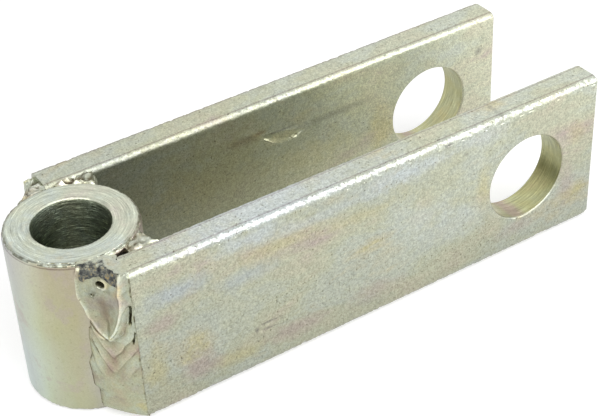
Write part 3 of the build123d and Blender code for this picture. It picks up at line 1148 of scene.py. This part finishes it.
# %% The film of a whole bar
def bar_film(stains, dark_line_depth, plain_side, along, across, outer_shade_share):
    """Colours one bar. Plain_side is where the face without ovals lies, as its distance from the part's
    middle. Along and across are painted shade along and up the bar; outer_shade_share is the first one's
    share outside."""
    def add_film(tree, place, base):
        torn = noise_field(tree, place, 260.0, 4.0, 0.65)
        axes = axes_of(tree, place)
        out = maths(tree, "ABSOLUTE", axes[1])
        up = apart(tree, axes[2], BAR_MIDDLE_Z)
        stained = base
        for stain in stains:
            stained = oval(tree, place, torn, stained, *stain)
        off_plain = remap(tree, apart(tree, out, plain_side), 0.2 * MM, 0.9 * MM, 0.0, 1.0)
        base = mix(tree, "MIX", off_plain, base, stained)
        base = painted_dark_corner_lines(tree, base, out, up, torn, dark_line_depth)
        # Painted shade along the bar and up it. On the left bar it falls mostly on the face beside the slot.
        strength = remap(tree, out, SLOT_HALF + 0.7 * MM, SLOT_HALF + 0.1 * MM, outer_shade_share, 1.0)
        base = fade(tree, base, axes[0], *along, strength)
        base = fade(tree, base, axes[2], *across)
        # Painted highlights on the outer corners, and fainter ones on the corners beside the slot.
        base = worn_corner_highlight(tree, place, base, out, up, BAR_OUTER, 0.75)
        return worn_corner_highlight(tree, place, base, out, up, SLOT_HALF, 0.25)

    return add_film


print("half a bar's height:", round(BAR_HALF_HEIGHT / MM, 2), "mm")

# %% Where the stains and the painted shade lie on each bar
LIP_TAN = (0.62, 0.58, 0.38)
OLIVE = (0.460, 0.470, 0.295)
MUSTARD = (0.470, 0.455, 0.270)
RIGHT_STAINS = [
    ((11.8, 11.2), (9.0, 3.4), BLUE_GREY, 0.85), ((30.5, 16.6), (13.0, 2.4), PALE_BLUE, 0.7),
    ((28.2, 7.4), (9.0, 3.0), BLUE_GREY, 0.6), ((37.0, 11.8), (13.0, 2.4), STRAW, 0.50),
    ((25.5, -13.7), (8.0, 2.6), STRAW, 0.6), ((5.0, -7.0), (3.6, 8.0), STRAW, 0.6),
    ((7.4, 4.2), (5.0, 3.2), ROSE, 0.7), ((15.7, -11.5), (6.0, 4.5), ROSE, 0.85),
    ((40.5, -13.2), (10.0, 3.2), ROSE, 0.7), ((71.0, 16.5), (14.0, 3.2), PALE_BLUE, 0.75),
    ((93.0, 17.0), (9.0, 3.0), PALE_BLUE, 0.5), ((93.5, 3.0), (2.6, 9.0), STRAW, 0.55),
    ((119.0, -7.0), (3.0, 7.0), ROSE, 0.6), ((103.0, -13.5), (8.0, 2.4), ROSE, 0.5),
    ((121.5, 7.4), (3.5, 4.0), STRAW, 0.45), ((75.0, 2.0), (11.0, 5.0), PALE_BLUE, 0.35),
    ((82.9, 18.7), (1.3, 0.9), DARK_SPOT, 0.8), ((88.0, 14.3), (0.8, 0.6), DARK_SPOT, 0.6),
    # The dark ovals at 30.2, 33.6 and 33.4 mm along are painted shade in and round the dent's groove.
    ((98.8, 19.9), (0.8, 0.5), DARK_SPOT, 0.6), ((30.2, -8.9), (0.9, 1.1), DARK_SPOT, 0.75),
    ((33.6, -8.0), (3.4, 0.35), DARK_SPOT, 0.6), ((33.4, -9.8), (2.6, 0.3), DARK_SPOT, 0.5),
    ((34.0, 19.8), (30.0, 1.4), PALE_BLUE, 0.75), ((60.0, 10.0), (14.0, 2.0), STRAW, 0.40),
    ((62.0, -13.0), (9.0, 3.4), ROSE, 0.55), ((48.0, 14.5), (22.0, 1.8), PALE_BLUE, 0.45),
    ((85.0, -4.0), (16.0, 6.0), PALE_BLUE, 0.35), ((20.0, 0.0), (10.0, 5.0), COOL_GREY, 0.5),
]
LEFT_STAINS = [
    ((45.0, -2.0), (68.0, 26.0), OLIVE, 0.6), ((44.0, 6.0), (18.0, 12.0), MUSTARD, 0.6),
    ((51.8, 11.8), (6.0, 1.8), BROWN, 0.55), ((62.5, 9.0), (6.5, 1.7), LIP_TAN, 0.5),
    # The thin dark oval at 62.6 mm along is a painted shadow along the gouge's upper edge.
    ((62.6, 10.9), (5.2, 0.4), DARK_SPOT, 0.6), ((56.6, 12.2), (2.2, 0.6), BROWN, 0.7),
    ((78.0, 9.6), (13.0, 1.3), DARK_SPOT, 0.42), ((91.9, -0.3), (5.0, 7.0), STRAW, 0.7),
    ((122.0, 10.9), (1.7, 1.3), DARK_SPOT, 0.6), ((70.0, 1.0), (14.0, 4.0), STRAW, 0.4),
    ((35.0, 4.0), (12.0, 6.0), STRAW, 0.35),
]


def greys(*values):
    return [grey(value) for value in values]


# Painted shade: each bar is darker towards the hub and towards its bottom.
RIGHT_SHADE_ALONG = ((0.0, 25.0, 60.0, 90.0, 127.0), greys(0.97, 0.97, 1.0, 1.03, 1.08))
RIGHT_SHADE_UP = ((-19.0, -9.0, 1.0, 11.0, 20.0), greys(0.80, 0.90, 0.96, 1.0, 1.02))
LEFT_SHADE_PLACES = (15.0, 33.0, 50.0, 64.0, 80.0, 100.0, 127.0)
LEFT_SHADE_ALONG = (LEFT_SHADE_PLACES, greys(0.56, 0.68, 0.80, 1.0, 1.18, 1.22, 1.30))
LEFT_SHADE_UP = ((-19.0, 20.0), greys(0.92, 1.0))
print("stains:", len(RIGHT_STAINS), "on the right bar and", len(LEFT_STAINS), "on the left")

# %% [markdown]
# ## A finish for each piece
#
# The bars get the plain finish, drawn out along the rolling direction. The hub's film runs in upright
# bands round its side, which also carry a painted sheen on one side and a painted shadow under the rim. Its
# ends show facing rings, and the bore and the pin holes show the turned lines that a boring bar and a drill
# leave, with painted shade and painted glints on them; painted shade also darkens the whole bore. Each of
# these follows from where a point lies, not from a picture.

# %% Lines that a tool leaves
FACED_TINT = (0.965, 0.995, 1.045)
BORE_SHADE_TINT = (0.76, 0.82, 0.76)
SPECKLE = [(0.38, (0.37, 0.34, 0.29)), (0.62, (0.78, 0.77, 0.74))]
OUTER_BEAD_TURN = 1.98


def tool_lines(tree, across, turn, pitch, waver, detail, rough):
    """Noise drawn out into lines: it changes quickly across the lines, and slowly as they turn."""
    spot = wire(tree, "ShaderNodeCombineXYZ", X=times(tree, across, pitch), Y=times(tree, turn, waver))
    return noise_field(tree, spot.outputs[0], 1.0, detail, rough)


def cut_lines(tree, base, height, lines, stops, relief):
    """Lines show twice: as relief, and as painted shade and painted glints on their sides."""
    shades = [(place, grey(value)) for place, value in stops]
    base = mix(tree, "MULTIPLY", 1.0, base, ramp(tree, lines, shades))
    return base, maths(tree, "MULTIPLY_ADD", lines, relief, height)


# %% Rings on the hub's ends, and lines in the holes
def facing_rings(tree, place, base, height):
    """Rings on the hub's ends, with speckles on the rim's chamfer and beside the outer beads."""
    axes = axes_of(tree, place)
    flat_vector = wire(tree, "ShaderNodeCombineXYZ", X=axes[0], Y=axes[1]).outputs[0]
    radius = wire(tree, "ShaderNodeVectorMath", {"operation": "LENGTH"}, i0=flat_vector).outputs["Value"]
    turn = maths(tree, "ARCTAN2", axes[1], axes[0])
    lines = tool_lines(tree, radius, turn, 2300.0, 1.6, 4.0, 0.8)
    speckle = ramp(tree, noise_field(tree, place, 800.0, 3.0, 0.6), SPECKLE)
    at_rim = remap(tree, radius, HUB_RADIUS - RIM_CHAMFER, HUB_RADIUS - RIM_CHAMFER * 0.7, 0.0, 1.0)
    off_bead = apart(tree, maths(tree, "ABSOLUTE", turn), OUTER_BEAD_TURN)
    by_bead = remap(tree, off_bead, 0.36, 0.16, 0.0, 0.85)
    spatter = times(tree, by_bead, remap(tree, radius, 13.4 * MM, 14.3 * MM, 0.0, 1.0))
    base = mix(tree, "MULTIPLY", 1.0, base, FACED_TINT)
    base = mix(tree, "MULTIPLY", at_rim, base, speckle)
    base = mix(tree, "MULTIPLY", spatter, base, speckle)
    # The ring lines' dark stops are painted shade and the brightest stops painted glints.
    return cut_lines(tree, base, height, lines, [(0.32, 0.68), (0.45, 1.02), (0.55, 1.18), (0.68, 1.70)], 3.5)


def bored_lines(tree, place, base, height):
    """Lines down the hub's bore, each a turn of a screw thread as the boring bar was fed in."""
    axes = axes_of(tree, place)
    turn = maths(tree, "ARCTAN2", axes[1], axes[0])
    level = maths(tree, "MULTIPLY_ADD", turn, 0.05 * MM, axes[2])
    lines = tool_lines(tree, level, turn, 2300.0, 2.4, 3.0, 0.8)
    # Painted shade darkens the whole bore, with a green tint.
    base = mix(tree, "MULTIPLY", 1.0, base, BORE_SHADE_TINT)
    # The bored lines' dark stops are painted shade and the brightest stops painted glints.
    return cut_lines(tree, base, height, lines, [(0.34, 0.35), (0.50, 0.72), (0.58, 0.95), (0.66, 2.1)], 6.0)


def drilled_lines(tree, place, base, height):
    """The same in the pin holes, where a drill leaves a coarser feed."""
    axes = axes_of(tree, place)
    up = maths(tree, "SUBTRACT", axes[2], BAR_MIDDLE_Z)
    turn = maths(tree, "ARCTAN2", up, maths(tree, "SUBTRACT", axes[0], PIN_X))
    level = maths(tree, "MULTIPLY_ADD", turn, 0.4 * MM, axes[1])
    lines = tool_lines(tree, level, turn, 2400.0, 1.6, 4.0, 0.75)
    # The drilled lines' dark stops are painted shade and the brightest stops painted glints.
    return cut_lines(tree, base, height, lines, [(0.34, 0.66), (0.47, 0.93), (0.56, 1.05), (0.68, 1.4)], 3.5)


print("tooling: facing rings, bored lines and drilled lines")

# %% Film colours on the hub's side and in the pin holes
# Film colours by bearing. Towards 0 and 20 degrees they turn paler and bluer, a painted sheen on that side.
HUB_BEARING_TINTS_AND_SHEEN = [
    (-75, ROSE), (-60, (0.450, 0.400, 0.260)), (-45, (0.475, 0.447, 0.283)), (-37, (0.510, 0.487, 0.345)),
    (-30, (0.540, 0.550, 0.395)), (-21, (0.565, 0.590, 0.475)), (-12, (0.555, 0.580, 0.510)),
    (0, (0.510, 0.540, 0.520)), (20, (0.580, 0.635, 0.615)), (75, BEIGE),
]
HUB_LEVELS = (-18.0, -8.0, 4.0, 18.0)
HUB_TINTS = ((0.97, 1.04, 1.04), (1.0, 1.06, 1.08), (1.0, 1.03, 0.95), (1.01, 0.98, 1.0))
UNDER_RIM_SHADOW = (0.45, 0.38, 0.40)
WALL_LEVELS = (-9.0, 0.0, 9.0)
WALL_TINTS = ((0.97, 0.97, 0.98), (1.00, 1.00, 1.00), (1.15, 1.18, 1.36))


def hub_bands(tree, place, base):
    """Upright bands of film colour round the hub's side, by their bearing from straight back in degrees.
    Near bearings 0 to 20 they turn paler and bluer as a painted sheen, and a painted shadow runs under the
    rim.
    """
    axes = axes_of(tree, place)
    turn = maths(tree, "ARCTAN2", axes[1], times(tree, axes[0], -1.0))
    share = maths(tree, "MULTIPLY_ADD", turn, 1 / (2 * math.pi), 0.5)
    torn = noise_field(tree, place, 110.0, 5.0, 0.6)
    share = maths(tree, "MULTIPLY_ADD", maths(tree, "SUBTRACT", torn, 0.5), 0.07, share)
    bands = ramp(tree, share, [(bearing / 360 + 0.5, colour) for bearing, colour in HUB_BEARING_TINTS_AND_SHEEN])
    base = mix(tree, "MIX", 0.80, base, bands)
    base = fade(tree, base, axes[2], HUB_LEVELS, HUB_TINTS)
    stain = remap(tree, noise_field(tree, place, 170.0, 4.0, 0.6), 0.56, 0.64, 0.0, 0.5)
    base = mix(tree, "MIX", stain, base, ROSE)
    # A painted shadow: a dark band just under the rim's chamfer.
    off_rim = apart(tree, axes[2], hub_high.z - RIM_CHAMFER - 0.15 * MM)
    wander = times(tree, torn, 0.35 * MM)
    painted_rim_shadow = remap(tree, maths(tree, "ADD", off_rim, wander), 0.42 * MM, 0.18 * MM, 0.0, 0.8)
    return mix(tree, "MULTIPLY", painted_rim_shadow, base, UNDER_RIM_SHADOW)


def hole_film(tree, place, base):
    """A thicker, yellower film in the pin holes, with a cream and a purple stain low in their walls."""
    base = mix(tree, "MULTIPLY", 1.0, base, (1.00, 0.96, 0.68))
    base = fade(tree, base, axes_of(tree, place)[2], WALL_LEVELS, WALL_TINTS)
    torn = noise_field(tree, place, 260.0, 4.0, 0.65)
    base = oval(tree, place, torn, base, (99.6, -9.0), (2.6, 3.0), (0.66, 0.64, 0.47), 0.7)
    return oval(tree, place, torn, base, (104.3, -10.8), (2.8, 1.8), (0.42, 0.33, 0.28), 0.8)


print("bands round the hub:", len(HUB_BEARING_TINTS_AND_SHEEN))

# %% Build the finishes of the bars and the hub
STEEL_SEED = (0.013, 0.021, 0.007)
ROLLED = (0.5, 1.0, 1.0)
EVEN = (1.0, 1.0, 1.0)
right_film = bar_film(RIGHT_STAINS, 1.6 * MM, SLOT_HALF, RIGHT_SHADE_ALONG, RIGHT_SHADE_UP, 1.0)
left_film = bar_film(LEFT_STAINS, 1.25 * MM, BAR_OUTER, LEFT_SHADE_ALONG, LEFT_SHADE_UP, 0.25)
right_finish = plated_steel("plated_right_bar", ROLLED, STEEL_SEED, film=right_film)
left_finish = plated_steel("plated_left_bar", ROLLED, STEEL_SEED, film=left_film)
drilled_finish = plated_steel(
    "plated_drilled_wall", EVEN, (0.2, 0.1, 0.0), 0.34, 0.06, 0.2, 0.30, hole_film, drilled_lines
)
hub_finish = plated_steel(
    "plated_hub_side", (1.0, 1.0, 0.45), (0.1, 0.0, 0.05), 0.34, 0.06, 0.2, 0.20, hub_bands
)
faced_finish = plated_steel(
    "plated_faced_end", EVEN, (0.0, 0.3, 0.0), 0.33, 0.10, 0.2, 0.35, None, facing_rings
)
bored_finish = plated_steel("plated_bore", EVEN, (0.0, 0.0, 0.4), 0.34, 0.10, 0.3, 0.5, None, bored_lines)
print("finishes so far:", [m.name for m in bpy.data.materials if m.name.startswith("plated")])

# %% [markdown]
# ## Burnt weld metal
#
# The beads carry the same plate over rougher, yellower metal. When the beads were shaped, four numbers
# were kept at their vertices: how much painted shade, with some stain, lies in a seam, a pore or a slit; how
# much painted highlight a ridge gets; how brown the metal is, with painted shade in the tongue's hollow;
# and how scorched. The scorched steel is blue-black with rust-brown flecks and a torn edge.

# %% The weld finish, with its painted shade and highlights, and its burn
WELD_DRIFT = [
    (0.30, (0.74, 0.66, 0.66)), (0.42, (0.86, 0.80, 0.74)), (0.52, (0.88, 0.88, 0.80)),
    (0.60, (0.92, 0.94, 0.90)), (0.72, (0.94, 0.89, 0.70)),
]
BURNT = [
    (0.36, (0.038, 0.041, 0.042)), (0.50, (0.115, 0.120, 0.112)), (0.58, (0.22, 0.22, 0.17)),
    (0.64, (0.32, 0.23, 0.10)), (0.70, (0.42, 0.41, 0.33)),
]
# Painted shade with some stain in seams, painted highlight on ridges, and brown that is also painted shade in
# the hollow.
KEPT_TINTS = {"brown": (0.62, 0.53, 0.50), "ridge_highlight": (1.78, 1.77, 1.92), "seam_shade_and_stain": (0.20, 0.15, 0.10)}


def kept_number(tree, name):
    settings = {"attribute_type": "GEOMETRY", "attribute_name": name}
    return wire(tree, "ShaderNodeAttribute", settings).outputs["Fac"]


def weld_film(tree, place, base):
    drift = noise_field(tree, place, 210.0, 2.0, 0.5, 0.3)
    level = axes_of(tree, place)[2]
    below_top = remap(tree, level, bar_high.z - 0.1 * MM, bar_high.z - 1.2 * MM, 0.2, 1.0)
    base = mix(tree, "MULTIPLY", below_top, base, ramp(tree, drift, WELD_DRIFT))
    for name, tint in KEPT_TINTS.items():
        base = mix(tree, "MULTIPLY", kept_number(tree, name), base, tint)
    scorch = kept_number(tree, "scorch")
    off_half = maths(tree, "SUBTRACT", scorch, 0.65)
    tear = maths(tree, "MULTIPLY_ADD", noise_field(tree, place, 750.0, 2.0, 0.6), 1.3, off_half)
    is_scorched = maths(tree, "GREATER_THAN", scorch, 0.02)
    torn_scorch = times(tree, remap(tree, tear, 0.35, 0.60, 0.0, 1.0), is_scorched)
    flecks = noise_field(tree, place, 900.0, 3.0, 0.65)
    return mix(tree, "MIX", torn_scorch, base, ramp(tree, flecks, BURNT))


weld_finish = plated_steel(
    "plated_weld", (1.6, 1.6, 1.2), (0.05, 0.0, 0.02), 0.38, 0.15, 0.5, 0.45, weld_film
)
print("numbers kept for the weld finish:", [*KEPT_TINTS, "scorch"])

# %% [markdown]
# ## Dress the pieces
#
# A piece can carry several finishes: each face points at one of the object's material slots. The bars'
# hole walls, the hub's ends and the hub's bore are picked by where their faces lie.

# %% Give the pieces their finishes
def dress(piece, finishes, choose):
    piece.data.materials.clear()
    for finish in finishes:
        piece.data.materials.append(finish)
    for face in piece.data.polygons:
        face.material_index = choose(face.center, face.normal)
    print(piece.name, "wears", [finish.name for finish in finishes])


def bar_choice(centre, normal):
    in_hole = math.hypot(centre.x - PIN_X, centre.z - BAR_MIDDLE_Z) < PIN_RADIUS + 0.02 * MM
    return 1 if in_hole and abs(normal.y) < 0.5 else 0


def hub_choice(centre, normal):
    radius = math.hypot(centre.x, centre.y)
    if radius < BORE_RADIUS + 0.05 * MM:
        return 2
    return 1 if abs(normal.z) > 0.5 else 0


dress(right_bar, [right_finish, drilled_finish], bar_choice)
dress(left_bar, [left_finish, drilled_finish], bar_choice)
dress(hub_body, [hub_finish, faced_finish, bored_finish], hub_choice)
for bead in (right_outer_bead, left_outer_bead, right_inner_bead, left_inner_bead):
    dress(bead, [weld_finish], lambda centre, normal: 0)

# %% Hand the pieces over, each with its name and the node it stands for
finish_piece(right_bar, "right_bar", "right_ear")
finish_piece(left_bar, "left_bar", "left_ear")
finish_piece(hub_body, "bored_hub", "hub")
finish_piece(right_outer_bead, "right_outer_bead", "right_outer_weld")
finish_piece(left_outer_bead, "left_outer_bead", "left_outer_weld")
finish_piece(right_inner_bead, "right_inner_bead", "right_inner_weld")
finish_piece(left_inner_bead, "left_inner_bead", "left_inner_weld")

# %% [markdown]
# ## Floor, light and camera
#
# The part lies on a plain white table under a soft, even light. Bright metal shows its surroundings, so
# the white around it is most of its colour. The floor and the sky are made a clean white to the camera and
# in reflections only, and the lamps stay gentle. One long lamp overhead draws the bright line along the
# rolled corners.

# %% Lay the white table
def seen_rays(tree):
    """Two outputs: 1 for the camera's own rays, and 1 for those and for reflections too."""
    rays = wire(tree, "ShaderNodeLightPath").outputs
    mirrored = maths(tree, "MAXIMUM", rays["Is Glossy Ray"], rays["Is Transmission Ray"])
    return rays["Is Camera Ray"], maths(tree, "MAXIMUM", rays["Is Camera Ray"], mirrored)


deselect_all()
bpy.ops.mesh.primitive_plane_add(size=3.0, location=(0.05, 0, hub_low.z))
table = bpy.context.object
table.name = "white_table"
bpy.ops.object.transform_apply(location=True, rotation=True, scale=True)
white = bpy.data.materials.new("white_table_top")
white.use_nodes = True
tree = white.node_tree
paint = tree.nodes["Principled BSDF"]
paint.inputs["Base Color"].default_value = (0.58, 0.58, 0.58, 1.0)
paint.inputs["Roughness"].default_value = 0.9
paint.inputs["Specular IOR Level"].default_value = 0.0
direct, seen = seen_rays(tree)
strength = maths(tree, "MULTIPLY_ADD", direct, 0.10, times(tree, seen, 0.48))
lift = wire(tree, "ShaderNodeEmission", Color=(1, 1, 1, 1), Strength=strength)
both = wire(tree, "ShaderNodeAddShader", i0=paint.outputs[0], i1=lift.outputs[0])
tree.links.new(both.outputs[0], tree.nodes["Material Output"].inputs["Surface"])
table.data.materials.append(white)
print("table top at", round(hub_low.z / MM, 1), "mm")

# %% Light it softly
world = bpy.data.worlds.new("white_room")
bpy.context.scene.world = world
world.use_nodes = True
tree = world.node_tree
sky = tree.nodes["Background"]
direct, seen = seen_rays(tree)
tree.links.new(maths(tree, "MULTIPLY_ADD", seen, 0.65, 0.35), sky.inputs["Strength"])
sky.inputs["Color"].default_value = (1, 1, 1, 1)


def soft_lamp(name, place, aim, width, depth, power):
    bpy.ops.object.light_add(type="AREA", location=place)
    lamp = bpy.context.object
    lamp.name = name
    lamp.data.shape = "RECTANGLE"
    lamp.data.size = width
    lamp.data.size_y = depth
    lamp.data.energy = power
    lamp.rotation_euler = (Vector(aim) - Vector(place)).to_track_quat("-Z", "Y").to_euler()
    return lamp


AIM = (0.05, 0.0, 0.0)
soft_lamp("overhead_lamp", (-0.10, -0.42, 0.75), AIM, 1.4, 0.60, 7.0)
soft_lamp("side_lamp", (0.50, -0.45, 0.25), AIM, 0.3, 0.3, 1.2)
soft_lamp("back_lamp", (0.55, 0.80, 0.72), AIM, 0.9, 0.9, 0.6)

# %% Place the camera
LENS = 92.637
CAMERA_PLACE = (-0.09620, -0.25013, 0.21389)
CAMERA_TURN = (52.239, 3.158, -32.453)
bpy.ops.object.camera_add(location=CAMERA_PLACE, rotation=[math.radians(angle) for angle in CAMERA_TURN])
camera = bpy.context.object
camera.data.lens = LENS
camera.data.shift_x = 0.05
camera.data.shift_y = 0.07
bpy.context.scene.camera = camera
bpy.context.scene.view_settings.view_transform = "Standard"
print("camera lens:", LENS, "mm")
